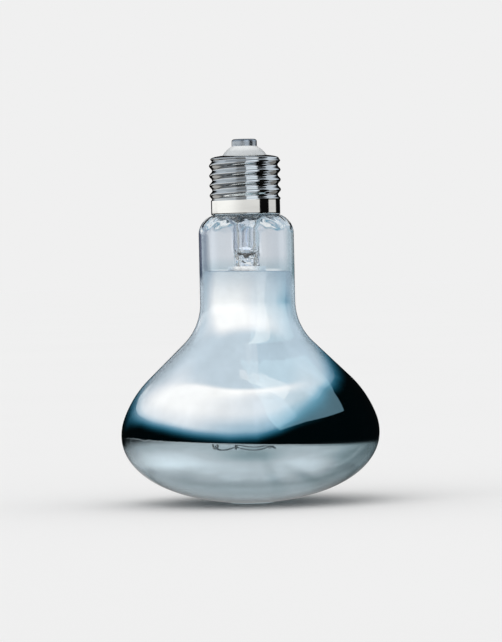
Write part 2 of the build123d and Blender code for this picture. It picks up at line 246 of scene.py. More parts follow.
def add_piece(name, bm, slot_name, node_name, *finishes):
    """Puts a mesh into the scene as a piece that rides on the bulb and stands for a CAD node."""
    piece = bpy.data.objects.new(name, finished_mesh(name, bm))
    bpy.context.scene.collection.objects.link(piece)
    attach(piece, BODY)
    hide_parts(node_name)
    for finish in finishes:
        piece.data.materials.append(finish)


def finished_mesh(name, bm):
    """Turns a bmesh into a smooth mesh whose faces all look outwards."""
    bmesh.ops.recalc_face_normals(bm, faces=bm.faces)
    for face in bm.faces:
        face.smooth = True
    mesh = bpy.data.meshes.new(name)
    bm.to_mesh(mesh)
    bm.free()
    return mesh


def go_round(points, heading, radius, turn, steps):
    """Goes on along an arc from the last point: a positive turn leans towards the axis."""
    side = 1 if turn > 0 else -1
    start_radius, start_height = points[-1]
    for step in range(1, steps + 1):
        angle = heading + turn * step / steps
        out = side * radius * (cos(angle) - cos(heading))
        up = side * radius * (sin(angle) - sin(heading))
        points.append((start_radius + out, start_height + up))
    return heading + turn


def go_straight(points, heading, length, steps):
    """Goes on along a straight line from the last point."""
    start_radius, start_height = points[-1]
    for step in range(1, steps + 1):
        along = length * step / steps
        points.append((start_radius - along * sin(heading), start_height + along * cos(heading)))


def bulb_outline(glass, inset):
    """Points (radius, height) from the middle of the face to the seal's top, set into the glass."""
    bulb_radius = glass.diameter / 2
    neck_radius = glass.neck_diameter / 2
    top_arcs = glass.neck_top_radius + glass.seal_fillet
    top_turn = acos(1 - (neck_radius - glass.seal_radius) / top_arcs)
    run_in = (
        bulb_radius
        - neck_radius
        - glass.shoulder_radius * (1 - cos(glass.shoulder_turn))
        - glass.upper_shoulder_radius * (cos(glass.shoulder_turn) - cos(glass.cone_angle))
        - glass.flare_radius * (1 - cos(glass.cone_angle))
    )
    cone_length = run_in / sin(glass.cone_angle)
    radius = bulb_radius - inset
    steps = 60
    points = []
    for step in range(steps + 1):
        t = step / steps
        foot = (1 - t) ** 2
        corner = 2 * t * (1 - t) * glass.face_fullness
        rim = t**2
        total = foot + corner + rim
        height = ((foot + corner) * inset + rim * glass.face_depth) / total
        points.append((radius * (corner + rim) / total, height))
    heading = go_round(points, 0.0, glass.shoulder_radius - inset, glass.shoulder_turn, 14)
    upper_turn = glass.cone_angle - glass.shoulder_turn
    heading = go_round(points, heading, glass.upper_shoulder_radius - inset, upper_turn, 22)
    go_straight(points, heading, cone_length, 10)
    heading = go_round(points, heading, glass.flare_radius + inset, -glass.cone_angle, 28)
    go_straight(points, heading, glass.neck_length, 20)
    heading = go_round(points, heading, glass.neck_top_radius - inset, top_turn, 26)
    heading = go_round(points, heading, glass.seal_fillet + inset, -top_turn, 10)
    go_straight(points, heading, glass.seal_length, 4)
    return points


def radius_at(points, height):
    """Radius of an outline at a height, between its points."""
    for (low_radius, low), (high_radius, high) in zip(points, points[1:]):
        if low <= height <= high and high > low:
            share = (height - low) / (high - low)
            return low_radius + (high_radius - low_radius) * share
    raise ValueError(f"the outline has no point at height {height:.4f}")


def ring_of(bm, segments, radius, height):
    """Ring of points round the axis; radius and height are numbers or functions of the direction."""
    ring = []
    for index in range(segments):
        angle = 2 * pi * index / segments
        out = radius(angle) if callable(radius) else radius
        up = height(angle) if callable(height) else height
        ring.append(bm.verts.new((out * cos(angle), out * sin(angle), up)))
    return ring


def join_rings(bm, lower, upper):
    """Faces between two rings of as many points."""
    count = len(lower)
    faces = []
    for index in range(count):
        after = (index + 1) % count
        faces.append(bm.faces.new((lower[index], lower[after], upper[after], upper[index])))
    return faces


def close_ring(bm, ring, height):
    """Fan of faces from a ring to a point on the axis."""
    middle = bm.verts.new((0, 0, height))
    count = len(ring)
    return [bm.faces.new((ring[index], ring[(index + 1) % count], middle)) for index in range(count)]


def blend(first, second, share):
    """Values between two rows of values."""
    return tuple(one + (two - one) * share for one, two in zip(first, second))


def ease(value, low, high):
    """Smooth step from 0 at low to 1 at high."""
    share = min(max((value - low) / (high - low), 0.0), 1.0)
    return share * share * (3 - 2 * share)


def hump(value, start, full, fading, end):
    """1 from full to fading, with smooth steps to 0 at start and end."""
    return ease(value, start, full) * (1 - ease(value, fading, end))


def bell(value, middle, width):
    """Soft hump of height 1."""
    return exp(-(((value - middle) / width) ** 2))


# Finishes


# Part of a noise's range that holds nearly all of its values
NOISE_SPAN = (0.3, 0.7)


def set_inputs(node, values):
    """Sets a node's sockets by name; underscores stand for spaces."""
    for key, value in values.items():
        socket = node.inputs[key.replace("_", " ")]
        socket.default_value = (*value, 1.0) if socket.type == "RGBA" else value


def add_node(tree, kind, **values):
    """Node of a kind, with its sockets set by name."""
    node = tree.nodes.new("ShaderNode" + kind)
    set_inputs(node, values)
    return node


def math_node(tree, operation, first, second):
    """Output of an operation on the outputs of two other nodes."""
    node = add_node(tree, "Math")
    node.operation = operation
    tree.links.new(first, node.inputs[0])
    tree.links.new(second, node.inputs[1])
    return node.outputs["Value"]


def new_finish(name, **values):
    """Material with its shader's sockets set by name."""
    material = bpy.data.materials.new(name)
    material.use_nodes = True
    set_inputs(material.node_tree.nodes["Principled BSDF"], values)
    return material


def feed_shader(material, output, socket_name):
    """Links a node's output to a socket of the material's shader."""
    shader = material.node_tree.nodes["Principled BSDF"]
    material.node_tree.links.new(output, shader.inputs[socket_name])


def noise_node(material, size, detail, stretch):
    """Noise in the bulb's own frame, with features of about the given size in metres."""
    tree = material.node_tree
    place = add_node(tree, "TexCoord")
    spread = add_node(tree, "Mapping", Scale=stretch)
    texture = add_node(tree, "TexNoise", Scale=1 / size, Detail=detail)
    tree.links.new(place.outputs["Object"], spread.inputs["Vector"])
    tree.links.new(spread.outputs["Vector"], texture.inputs["Vector"])
    return texture.outputs["Fac"]


def vary(material, socket_name, low, high, size, detail=3.0, stretch=(1, 1, 1)):
    """Lets a number of the shader wander between two values."""
    tree = material.node_tree
    source = noise_node(material, size, detail, stretch)
    least, most = NOISE_SPAN
    spread = add_node(tree, "MapRange", From_Min=least, From_Max=most, To_Min=low, To_Max=high)
    tree.links.new(source, spread.inputs["Value"])
    feed_shader(material, spread.outputs["Result"], socket_name)


def mottle(material, first, second, size, detail=4.0, stretch=(1, 1, 1)):
    """Lets the base colour wander between two colours."""
    source = noise_node(material, size, detail, stretch)
    ramp = add_node(material.node_tree, "ValToRGB")
    for element, position, colour in zip(ramp.color_ramp.elements, NOISE_SPAN, (first, second)):
        element.position = position
        element.color = (*colour, 1.0)
    material.node_tree.links.new(source, ramp.inputs["Fac"])
    feed_shader(material, ramp.outputs["Color"], "Base Color")


def mixed_colour(tree, kind):
    """Node that mixes two colours in a way of its kind."""
    mix = add_node(tree, "Mix")
    mix.data_type = "RGBA"
    mix.blend_type = kind
    return mix


def tint_by_height(material, bottom, top, stops):
    """Multiplies the base colour by tints at given heights of a piece that reaches from bottom to top."""
    tree = material.node_tree
    place = add_node(tree, "TexCoord")
    axes = add_node(tree, "SeparateXYZ")
    ramp = add_node(tree, "ValToRGB")
    product = mixed_colour(tree, "MULTIPLY")
    product.inputs["Factor"].default_value = 1.0
    elements = ramp.color_ramp.elements
    for element, (height, tint) in zip((elements[0], elements[1]), (stops[0], stops[-1])):
        element.position = (height - bottom) / (top - bottom)
        element.color = (*tint, 1.0)
    for height, tint in stops[1:-1]:
        elements.new((height - bottom) / (top - bottom)).color = (*tint, 1.0)
    base = tree.nodes["Principled BSDF"].inputs["Base Color"]
    tree.links.new(place.outputs["Generated"], axes.inputs["Vector"])
    tree.links.new(axes.outputs["Z"], ramp.inputs["Fac"])
    tree.links.new(base.links[0].from_socket, product.inputs[6])
    tree.links.new(ramp.outputs["Color"], product.inputs[7])
    tree.links.new(product.outputs[2], base)


def roughen(material, size, depth, strength=1.0, detail=3.0, stretch=(1, 1, 1)):
    """Adds a fine relief to the finish; depth is its height in metres."""
    source = noise_node(material, size, detail, stretch)
    relief = add_node(material.node_tree, "Bump", Strength=strength, Distance=depth)
    material.node_tree.links.new(source, relief.inputs["Height"])
    feed_shader(material, relief.outputs["Normal"], "Normal")


def shade(colour, share):
    """Colour made darker or lighter by a share."""
    return tuple(part * share for part in colour)


def dress(node_name, material):
    """Gives a CAD node its finish."""
    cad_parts[node_name].material_slots[0].material = material


def clear_glass_finish(name, tint, clarity):
    """Clear blown glass with a slow waviness."""
    finish = new_finish(name, Base_Color=tint, IOR=1.5, Transmission_Weight=1.0)
    mottle(finish, shade(tint, 0.985), shade(tint, 1.015), 8 * MM)
    vary(finish, "Roughness", 0.0, clarity, 5 * MM)
    roughen(finish, 6 * MM, 0.02 * MM, 0.35)
    return finish


def satin_glass_finish(tint):
    """Glass with a lightly etched inner skin that softens what is behind it."""
    finish = new_finish("satin_glass", IOR=1.5, Transmission_Weight=1.0)
    mottle(finish, shade(tint, 0.97), shade(tint, 1.02), 5 * MM)
    vary(finish, "Roughness", 0.04, 0.07, 2 * MM)
    roughen(finish, 0.35 * MM, 0.01 * MM, 0.3)
    return finish


def metal_finish(name, colour, low, high, size, stretch=(1, 1, 1)):
    """Metal whose gloss and tone wander a little."""
    finish = new_finish(name, Metallic=1.0)
    mottle(finish, shade(colour, 0.94), shade(colour, 1.05), 3 * size, 3.0, stretch)
    vary(finish, "Roughness", low, high, size, 4.0, stretch)
    return finish


class BulbGlassOperator(bpy.types.Operator):
    """Makes the blown glass, with its clear neck and satin face"""

    bl_idname = "bulb.glass_envelope"
    bl_label = "Glass envelope"

    def execute(self, context):
        glass = context.scene.bulb_glass
        mirror = context.scene.bulb_mirror
        outer = bulb_outline(glass, 0.0)
        inner = bulb_outline(glass, glass.wall)
        top = node_top("glass_envelope")
        if abs(outer[-1][1] - top) > 0.2 * MM:
            raise ValueError(f"the glass ends at {outer[-1][1]:.5f} and its CAD node at {top:.5f}")
        segments = 224
        frost_top = glass.face_depth - mirror.below_widest
        neck_top = outer[-1][1] - glass.seal_length - glass.neck_top_radius - glass.seal_fillet
        bm = bmesh.new()
        skins = []
        for skin, outline in enumerate((outer, inner)):
            rings = []
            for radius, height in outline[1:]:
                swell = glass.ripple * ease(height, neck_top, neck_top + glass.neck_top_radius / 2) * skin
                swell *= 1 - ease(height, top - 2 * glass.seal_length, top - glass.seal_length)

                def out(angle, radius=radius, height=height, swell=swell):
                    spot = Vector((6 * cos(angle), 6 * sin(angle), height / (2.2 * MM)))
                    return radius + swell * noise.noise(spot)

                rings.append(ring_of(bm, segments, out, height))
            skins.append(rings)
            for face in close_ring(bm, rings[0], outline[0][1]):
                face.material_index = skin
            for lower, upper in zip(rings, rings[1:]):
                for face in join_rings(bm, lower, upper):
                    face.material_index = skin if upper[0].co.z < frost_top else 0
        join_rings(bm, skins[0][-1], skins[1][-1])
        clear = clear_glass_finish("clear_glass", glass.tint, 0.015)
        satin = satin_glass_finish(glass.frost)
        add_piece("blown_glass", bm, "clear_glass", "glass_envelope", clear, satin)
        return {"FINISHED"}


class BulbMirrorOperator(bpy.types.Operator):
    """Makes the aluminium film between its two mask edges"""

    bl_idname = "bulb.mirror_coating"
    bl_label = "Mirror coating"

    def execute(self, context):
        glass = context.scene.bulb_glass
        mirror = context.scene.bulb_mirror
        segments = 256
        rows = 110
        lower_middle = glass.face_depth - mirror.below_widest
        top = node_top("mirror_coating")
        upper_middle = top - glass.neck_diameter / 2 * sin(mirror.upper_tilt)
        inset = glass.wall + mirror.gap
        bulb_radius = glass.diameter / 2
        bm = bmesh.new()
        skins = []
        for depth in (inset, inset + mirror.film):
            outline = bulb_outline(glass, depth)

            def lower_edge(angle):
                leftness = ease(-cos(angle), 0.35, 0.75)
                spot = Vector((34 * cos(angle), 34 * sin(angle), 0.3))
                nick = mirror.fray * leftness * noise.noise(spot)
                fuzz = 0.06 * MM * noise.noise(spot * 3.1)
                return lower_middle - bulb_radius * cos(angle) * sin(mirror.lower_tilt) + nick + fuzz

            def upper_edge(angle):
                return upper_middle - glass.neck_diameter / 2 * cos(angle) * sin(mirror.upper_tilt)

            rings = []
            for row in range(rows + 1):
                share = row / rows

                def height(angle, share=share):
                    return lower_edge(angle) * (1 - share) + upper_edge(angle) * share

                def out(angle, height=height, outline=outline):
                    return radius_at(outline, height(angle))

                rings.append(ring_of(bm, segments, out, height))
            for lower, upper in zip(rings, rings[1:]):
                join_rings(bm, lower, upper)
            skins.append(rings)
        join_rings(bm, skins[0][0], skins[1][0])
        join_rings(bm, skins[0][-1], skins[1][-1])
        finish = metal_finish("mirror_film", mirror.colour, 0.01, 0.035, 4 * MM, (1, 1, 0.4))
        full, thin = (1.0, 1.0, 1.0), mirror.thin
        stops = ((top - 14 * MM, full), (top - 7 * MM, blend(thin, full, 0.55)), (top, thin))
        tint_by_height(finish, node_bottom("mirror_coating"), top, stops)
        add_piece("mirror_film", bm, "mirror_film", "mirror_coating", finish)
        return {"FINISHED"}


class BulbShellOperator(bpy.types.Operator):
    """Makes the rolled screw shell with its helical thread"""

    bl_idname = "bulb.screw_shell"
    bl_label = "Screw shell"

    def execute(self, context):
        cap = context.scene.bulb_cap
        bottom, top = node_bottom("screw_shell"), node_top("screw_shell")
        segments = 180
        thread_foot = bottom + cap.collar_height
        thread_head = thread_foot + cap.thread_length
        crest = cap.crest_diameter / 2
        middle = crest - cap.thread_depth / 2
        collar = crest - cap.collar_step
        mouth = cap.mouth_diameter / 2
        edge = 0.25 * MM

        # Rows of (radius, height, share of the thread), from the collar's edge to the mouth
        rows = [(collar - edge, bottom, 0.0), (collar, bottom + edge, 0.0)]
        plain_steps = 12
        for step in range(1, plain_steps + 1):
            rows.append((collar, bottom + edge + (cap.collar_height - 2 * edge) * step / plain_steps, 0.0))
        thread_steps = 132
        for step in range(thread_steps + 1):
            height = thread_foot + cap.thread_length * step / thread_steps
            fade = ease(height, thread_foot, thread_foot + cap.run_out)
            fade *= 1 - ease(height, thread_head - cap.run_out, thread_head)
            base = collar + (middle - collar) * ease(height, thread_foot, thread_foot + cap.run_out)
            rows.append((base, height, fade))
        turn_steps = 12
        for step in range(1, turn_steps + 1):
            swing = pi / 2 * step / turn_steps
            rise = (top - thread_head) * sin(swing)
            rows.append((mouth + (middle - mouth) * (cos(swing) ** 1.5), thread_head + rise, 0.0))

        bm = bmesh.new()
        skins = []
        for depth in (0.0, cap.sheet):
            rings = []
            for base, height, fade in rows:

                def out(angle, base=base, height=height, fade=fade, depth=depth):
                    turns = 2 * pi * (height - thread_foot) / cap.pitch + cap.thread_start
                    return base - depth + fade * cap.thread_depth / 2 * cos(angle - turns)

                rings.append(ring_of(bm, segments, out, height - depth * ease(height, thread_head, top)))
            skins.append(rings)

        def kept(column, row):
            middle_angle = 2 * pi * (column + 0.5) / segments
            aside = abs(cos(middle_angle)) * collar
            in_notch = sin(middle_angle) > 0 and aside < cap.notch_width / 2
            return not (in_notch and rows[row + 1][1] < bottom + cap.notch_height)

        outer, inner = skins
        last_row = len(rows) - 1
        for row in range(last_row):
            for column in range(segments):
                if not kept(column, row):
                    continue
                after = (column + 1) % segments
                for rings in skins:
                    lower, upper = rings[row], rings[row + 1]
                    bm.faces.new((lower[column], lower[after], upper[after], upper[column]))
                sides = (
                    (row == 0 or not kept(column, row - 1), (row, column), (row, after)),
                    (row == last_row - 1, (row + 1, column), (row + 1, after)),
                    (not kept((column - 1) % segments, row), (row, column), (row + 1, column)),
                    (not kept(after, row), (row, after), (row + 1, after)),
                )
                for is_open, (low, left), (high, right) in sides:
                    if is_open:
                        ends = (outer[low][left], outer[high][right], inner[high][right], inner[low][left])
                        bm.faces.new(ends)
        loose = [vertex for vertex in bm.verts if not vertex.link_faces]
        bmesh.ops.delete(bm, geom=loose, context="VERTS")
        finish = metal_finish("nickel_plate", cap.plate, 0.03, 0.07, 1.5 * MM, (0.3, 0.3, 1.6))
        roughen(finish, 2.5 * MM, 0.02 * MM, 0.3)
        add_piece("rolled_shell", bm, "nickel_plate", "screw_shell", finish)
        return {"FINISHED"}


class BulbCapTopOperator(bpy.types.Operator):
    """Finishes the insulator, the contact, the solder and the cement"""

    bl_idname = "bulb.cap_top"
    bl_label = "Cap top"

    def execute(self, context):
        cap = context.scene.bulb_cap
        white = new_finish("white_insulator", Coat_Weight=0.3, Coat_Roughness=0.2)
        mottle(white, shade(cap.insulator, 0.95), shade(cap.insulator, 1.03), 2 * MM)
        vary(white, "Roughness", 0.3, 0.45, 1 * MM)
        roughen(white, 0.6 * MM, 0.03 * MM, 0.4)
        low, high = node_bottom("cap_insulator"), node_top("cap_insulator")
        mouth = node_top("screw_shell")
        # Painted shade: the insulator darkens towards the shell's mouth, where it sinks into the shell
        mouth_shade = (0.7, 0.71, 0.72)
        tint_by_height(white, low, high, ((mouth + 1.3 * MM, mouth_shade), (mouth + 2.8 * MM, (1.0, 1.0, 1.0))))
        dress("cap_insulator", white)

        contact = metal_finish("contact_metal", cap.contact, 0.2, 0.36, 0.8 * MM)
        roughen(contact, 0.7 * MM, 0.03 * MM, 0.4)
        dress("centre_contact", contact)

        solder = metal_finish("solder", cap.solder, 0.25, 0.45, 0.6 * MM)
        roughen(solder, 0.8 * MM, 0.08 * MM, 0.6)
        dress("contact_solder", solder)
        dress("side_solder", solder)

        cement = new_finish("cement", Specular_IOR_Level=0.2)
        mottle(cement, shade(cap.cement, 0.8), shade(cap.cement, 1.15), 0.8 * MM, 6.0)
        vary(cement, "Roughness", 0.8, 0.95, 0.7 * MM)
        roughen(cement, 0.5 * MM, 0.1 * MM, 0.8, 6.0)
        dress("basing_cement", cement)
        return {"FINISHED"}


class BulbStemOperator(bpy.types.Operator):
    """Draws the glass stem with its crinkled press, and finishes the exhaust tube and the arbor"""

    bl_idname = "bulb.stem"
    bl_label = "Stem"

    def execute(self, context):
        glass = context.scene.bulb_glass
        stem = context.scene.bulb_stem
        bottom, top = node_bottom("stem"), node_top("stem")
        press_top = bottom + stem.press_height
        rim_radius = node_size("stem", 0) / 2
        segments = 96

        def outline(inset):
            arcs = stem.bell_radius + stem.rim_radius
            run_out = rim_radius - stem.diameter / 2 - arcs * (1 - cos(stem.bell_angle))
            slope = run_out / sin(stem.bell_angle)
            bell_height = arcs * sin(stem.bell_angle) + slope * cos(stem.bell_angle)
            points = [(stem.diameter / 2 - inset, press_top)]
            go_straight(points, 0.0, top - stem.rim_band - bell_height - press_top, 30)
            heading = go_round(points, 0.0, stem.bell_radius + inset, -stem.bell_angle, 12)
            go_straight(points, heading, slope, 8)
            heading = go_round(points, heading, stem.rim_radius - inset, stem.bell_angle, 12)
            go_straight(points, heading, stem.rim_band, 4)
            return points

        def crinkle(angle, height, amount):
            spot = Vector((cos(angle), sin(angle), 0)) * stem.diameter / 2 / stem.crinkle_size
            spot.z = height / stem.crinkle_size
            return amount * noise.noise(spot)

        bm = bmesh.new()
        rings = []
        press_rows = 28
        for row in range(press_rows):
            height = bottom + stem.press_height * row / press_rows
            widening = max(1 - (press_top - height) / stem.press_taper, 0)
            half = stem.press_thickness / 2 + (stem.diameter - stem.press_thickness) / 2 * widening
            ring = []
            for index in range(segments):
                angle = 2 * pi * index / segments
                out = stem.diameter / 2 + crinkle(angle, height, stem.crinkle / 2) - stem.crinkle / 2
                across = out * cos(angle)
                deep = half * tanh(out * sin(angle) / half)
                deep += crinkle(angle, height, stem.crinkle) * sin(angle)
                ring.append(bm.verts.new((across, deep, height)))
            rings.append(ring)
        for radius, height in outline(0.0):
            amount = stem.crinkle / 3 * (1 - ease(height, press_top, press_top + stem.press_height))

            def uneven(angle, radius=radius, height=height, amount=amount):
                return radius + crinkle(angle, height, amount) - amount

            rings.append(ring_of(bm, segments, uneven, height))
        bore = list(reversed(outline(stem.wall)))
        bore_radius = stem.diameter / 2 - stem.wall
        closing_turns, tip_turn = range(10, 90, 10), 85
        for turn in closing_turns:
            bore.append((bore_radius * cos(radians(turn)), press_top - stem.bore_end * radians(turn)))
        for radius, height in bore:
            rings.append(ring_of(bm, segments, radius, height))
        for lower, upper in zip(rings, rings[1:]):
            join_rings(bm, lower, upper)
        close_ring(bm, rings[0], bottom)
        close_ring(bm, rings[-1], press_top - stem.bore_end * radians(tip_turn))
        finish = clear_glass_finish("stem_glass", glass.stem_tint, 0.02)
        add_piece("drawn_stem", bm, "stem_glass", "stem", finish)
        for node_name in ("exhaust_tube", "arbor"):
            dress(node_name, finish)
        return {"FINISHED"}


class BulbWiresOperator(bpy.types.Operator):
    """Finishes the leads, the support wires and the heat shield"""

    bl_idname = "bulb.wires"
    bl_label = "Wires and shield"

    def execute(self, context):
        wires = context.scene.bulb_wires
        lead = metal_finish("lead_wire", wires.lead, 0.18, 0.35, 0.6 * MM, (1, 1, 0.2))
        for node_name in ("centre_lead", "side_lead"):
            dress(node_name, lead)
        support = metal_finish("support_metal", wires.support, 0.25, 0.4, 0.4 * MM)
        for node_name in sorted(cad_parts):
            if node_name.startswith("support_wire"):
                dress(node_name, support)
        shield = metal_finish("shield_sheet", wires.shield, 0.12, 0.3, 1 * MM)
        roughen(shield, 1.2 * MM, 0.05 * MM, 0.5)
        dress("heat_shield", shield)
        return {"FINISHED"}


class BulbFilamentOperator(bpy.types.Operator):
    """Winds the coiled filament along its sagging spans"""

    bl_idname = "bulb.filament"
    bl_label = "Filament"

    def execute(self, context):
        wires = context.scene.bulb_wires
        height = node_top("filament") - wires.coil_diameter / 2
        reach = wires.ring_diameter / 2
        points_round = wires.spans + 1

        def holder(index):
            angle = pi + 2 * pi * index / points_round
            return Vector((wires.shift + reach * cos(angle), reach * sin(angle), height))

        def square_to(way):
            ahead = way.normalized()
            aside = ahead.cross(Vector((0, 0, 1))).normalized()
            return aside, aside.cross(ahead)

        # Middle line of the coil, in even steps
        path = []
        steps = 48
        for span in range(wires.spans):
            start, end = holder(span), holder(span + 1)
            bow = holder(span + 0.5) - Vector((0, 0, wires.sag)) - (start + end) / 2
            for step in range(steps + (span == wires.spans - 1)):
                t = step / steps
                path.append(start.lerp(end, t) + bow * 4 * t * (1 - t))
        run = sum((after - before).length for before, after in zip(path, path[1:]))

        turns = round(run / wires.coil_pitch)
        per_turn = 12
        count = turns * per_turn
        coil_radius = (wires.coil_diameter - wires.wire_diameter) / 2
        wire = []
        for index in range(count + 1):
            place = (len(path) - 1) * index / count
            before = min(int(place), len(path) - 2)
            middle = path[before].lerp(path[before + 1], place - before)
            aside, over = square_to(path[before + 1] - path[before])
            angle = 2 * pi * index / per_turn
            wire.append(middle + coil_radius * (cos(angle) * aside + sin(angle) * over))

        bm = bmesh.new()
        sides = 6
        rings = []
        for index, spot in enumerate(wire):
            aside, over = square_to(wire[min(index + 1, count)] - wire[max(index - 1, 0)])
            ring = []
            for side in range(sides):
                angle = 2 * pi * side / sides
                offset = cos(angle) * aside + sin(angle) * over
                ring.append(bm.verts.new(spot + offset * wires.wire_diameter / 2))
            rings.append(ring)
        for lower, upper in zip(rings, rings[1:]):
            join_rings(bm, lower, upper)
        bm.faces.new(rings[0])
        bm.faces.new(rings[-1])
        finish = metal_finish("filament_wire", wires.tungsten, 0.3, 0.5, 0.3 * MM)
        add_piece("coiled_filament", bm, "filament_wire", "filament", finish)
        return {"FINISHED"}


# Stage


def stage_mesh(name, bm, material):
    """Puts a mesh into the scene as part of the stage."""
    mesh = bpy.data.meshes.new(name)
    bm.to_mesh(mesh)
    bm.free()
    mesh.materials.append(material)
    thing = bpy.data.objects.new(name, mesh)
    bpy.context.scene.collection.objects.link(thing)
    return thing


def hide_from(thing, *kinds):
    """Hides a backdrop or a lamp from rays of these kinds."""
    for kind in kinds:
        setattr(thing, "visible_" + kind, False)


# Dark foot of the light tent: direction from the front to the right in degrees, height of the middle of
# its fade and half the fade in millimetres
TENT_FOOT = (
    (-180, 46, 12),
    (-130, 42, 15),
    (-98, 39, 13),
    (-91, 36.5, 12),
    (-81, 36, 8),
    (-68, 35.3, 5.5),
    (-47, 32.2, 5.5),
    (-28, 28.3, 5),
    (-10, 25.7, 4.5),
    (3, 26, 4.5),
    (15, 30, 4.5),
    (24, 35.5, 6.5),
    (37, 42.5, 11),
    (48, 49, 13),
    (68, 62, 12),
    (96, 66, 11),
    (110, 64, 10),
    (133, 58, 10),
    (150, 50, 10),
    (180, 46, 12),
)

# Bright window in the tent and the leaf of light in it: on the wall the height with the left and right edge
# in degrees, on the ceiling the place from left to right with the inner and outer edge towards the front
WINDOW_WALL = (
    (30, 14, 15),
    (35, 11, 30),
    (40, 9, 60),
    (57, 8, 71),
    (76, 6, 94),
    (92, 6, 104),
    (113, 6, 91),
    (142, 6, 80),
    (192, 6, 72),
    (419, 3, 61),
)
WINDOW_CEILING = (
    (-47, 22, 22),
    (-28, 25, 29),
    (-4, 28.5, 34),
    (-3, 28.7, 51.5),
    (26, 25.6, 44),
    (46, 23, 24),
)
LEAF_WALL = (
    (58, 24, 25),
    (66, 22, 30),
    (90, 19, 45),
    (133, 17, 57),
    (165, 15, 60),
    (212, 14, 59),
    (419, 3, 55),
)
LEAF_CEILING = (
    (-44, 27, 27),
    (-41, 27.5, 31),
    (-3, 34, 39),
    (3, 33.5, 51.5),
    (26, 31.5, 44),
    (43, 30, 30),
)

# Soft marks in the light behind the face: right, up, half width and half height in millimetres, lean to the
# right in degrees and share of light
FACE_MARKS = (
    (-36, 17.5, 17, 4, 0, 1.95),
    (0, 18.5, 10, 3.2, 0, 0.66),
    (19.5, 16, 10, 5, 0, 1.3),
    (8, 10, 2.2, 10, -20, 0.78),
    (21, 9, 2.2, 9, -60, 0.66),
    (-26, 10.3, 5, 3, 0, 0.8),
)


def between(rows, place):
    """Values that a table of rows gives at a place, with straight lines between its rows."""
    if place <= rows[0][0]:
        return rows[0][1:]
    for low, high in zip(rows, rows[1:]):
        if place <= high[0]:
            return blend(low[1:], high[1:], (place - low[0]) / (high[0] - low[0]))
    return rows[-1][1:]


def linear(displayed):
    """Share of light that shows as a displayed level from 0 to 255."""
    level = displayed / 255
    return level / 12.92 if level <= 0.04045 else ((level + 0.055) / 1.055) ** 2.4


def tone(level):
    """Light of a displayed level: the darker it is, the more it leans to teal."""
    dark = 1 - min(level / 250, 1)
    red = level * (1 - 0.95 * dark**1.6)
    blue = level * (1 + 0.68 * dark**1.45)
    green = 3 * level - red - blue
    return tuple(linear(part) for part in (red, green, blue))


def tent_level(turn, up):
    """Displayed level of the light tent in a direction in degrees and at a height in millimetres."""
    middle, half = between(TENT_FOOT, turn)
    tail = 0.12 + 0.16 * ease(turn, -35, -5)
    foot = ease(up, middle - half, middle + half) * (1 - tail * (1 - ease(up, middle, middle + 18)))
    glow = hump(turn, -115, -68, -55, 42) * (1 - ease(up, 70, 108))
    flare = hump(turn, -88, -52, 30, 110) * bell(up, 94, 20)
    level = TENT_LEVEL + GLOW_LEVEL * glow + FLARE_LEVEL * flare + RIGHT_LEVEL * ease(turn, 10, 60)
    return max(foot * min(level, HIGHEST_LEVEL), LOWEST_LEVEL)


def face_light(right, entry):
    """Light that shows through the face at a place to the right and at a height, in millimetres."""
    level = 0.36 + 0.19 * ease(entry, 4, 12) - 0.16 * ease(entry, 14.5, 18.5)
    dark_edge = 21 + 0.68 * entry
    level *= 1 - 0.46 * ease(right, dark_edge - 6, dark_edge + 6)
    for middle, height, half_width, half_height, lean, share in FACE_MARKS:
        aside, above = right - middle, entry - height
        across = aside * cos(radians(lean)) - above * sin(radians(lean))
        along = aside * sin(radians(lean)) + above * cos(radians(lean))
        level *= 1 + (share - 1) * bell(across, 0, half_width) * bell(along, 0, half_height)
    return shade(blend(FACE_SHADE, FACE_LIGHT, ease(level, 0.2, 0.5)), level)


def neck_light(turn, up):
    """Light behind the clear neck: darker at its walls, bluer behind the stem, white behind the shield."""
    wall_light, wall_end, glint, glint_turn, glint_width = LEFT_NECK_WALL if turn < 0 else RIGHT_NECK_WALL
    aside = abs(turn)
    light = blend(wall_light, NECK_LIGHT, ease(aside, 154, wall_end))
    light = shade(light, 1 + glint * bell(aside, glint_turn, glint_width))
    over_edge = 1 - ease(up, 86, 91.5)
    light = tuple(part * (1 - over_edge * loss) for part, loss in zip(light, (0.34, 0.22, 0.19)))
    behind_stem = ease(aside, 173.5, 174.5)
    tube = blend(shade(NECK_LIGHT, 1.8), TUBE_LIGHT, ease(up, 94, 101))
    light = blend(light, tube, behind_stem * ease(up, 92, 93))
    light = blend(light, CROWN_LIGHT, ease(up, 102.5, 105))
    light = blend(light, shade(WHITE_LIGHT, 0.65), ease(up, 107, 109))
    return blend(light, WHITE_LIGHT, ease(aside, 160, 166) * (1 - ease(up, 84.5, 86.2)))


def tent_colour(angle, radius, height, neck_share=1.0):
    """Colour of the light tent in a direction, at a distance from its axis and at a height, in metres."""
    turn, up = degrees(angle), height / MM
    right, back = radius / MM * sin(angle), -radius / MM * cos(angle)
    if radius >= TENT_RADIUS:
        share = ease(abs(turn), 123, 128) * hump(up, 80, 84, 118, 130)
        light = blend(tone(tent_level(turn, up)), neck_light(turn, up), neck_share * share)
        face_top = 17 + 2 * ease(abs(turn), 95, 110)
        light = blend(face_light(right, up + 5), light, ease(up, face_top, face_top + 4))
    elif height >= TENT_HEIGHT:
        light = tone(TENT_LEVEL)
    else:
        share = max(1 - ease(radius / MM, 42, 46), ease(back, 0, 15))
        light = shade(face_light(right, 0.05 * (back + 45)), share)
    return shade(light, TENT_GAIN)


def plain_tent_colour(angle, radius, height):
    """Colour of the light tent without the backdrop of the clear neck, which the mirror film shows."""
    return tent_colour(angle, radius, height, 0.0)


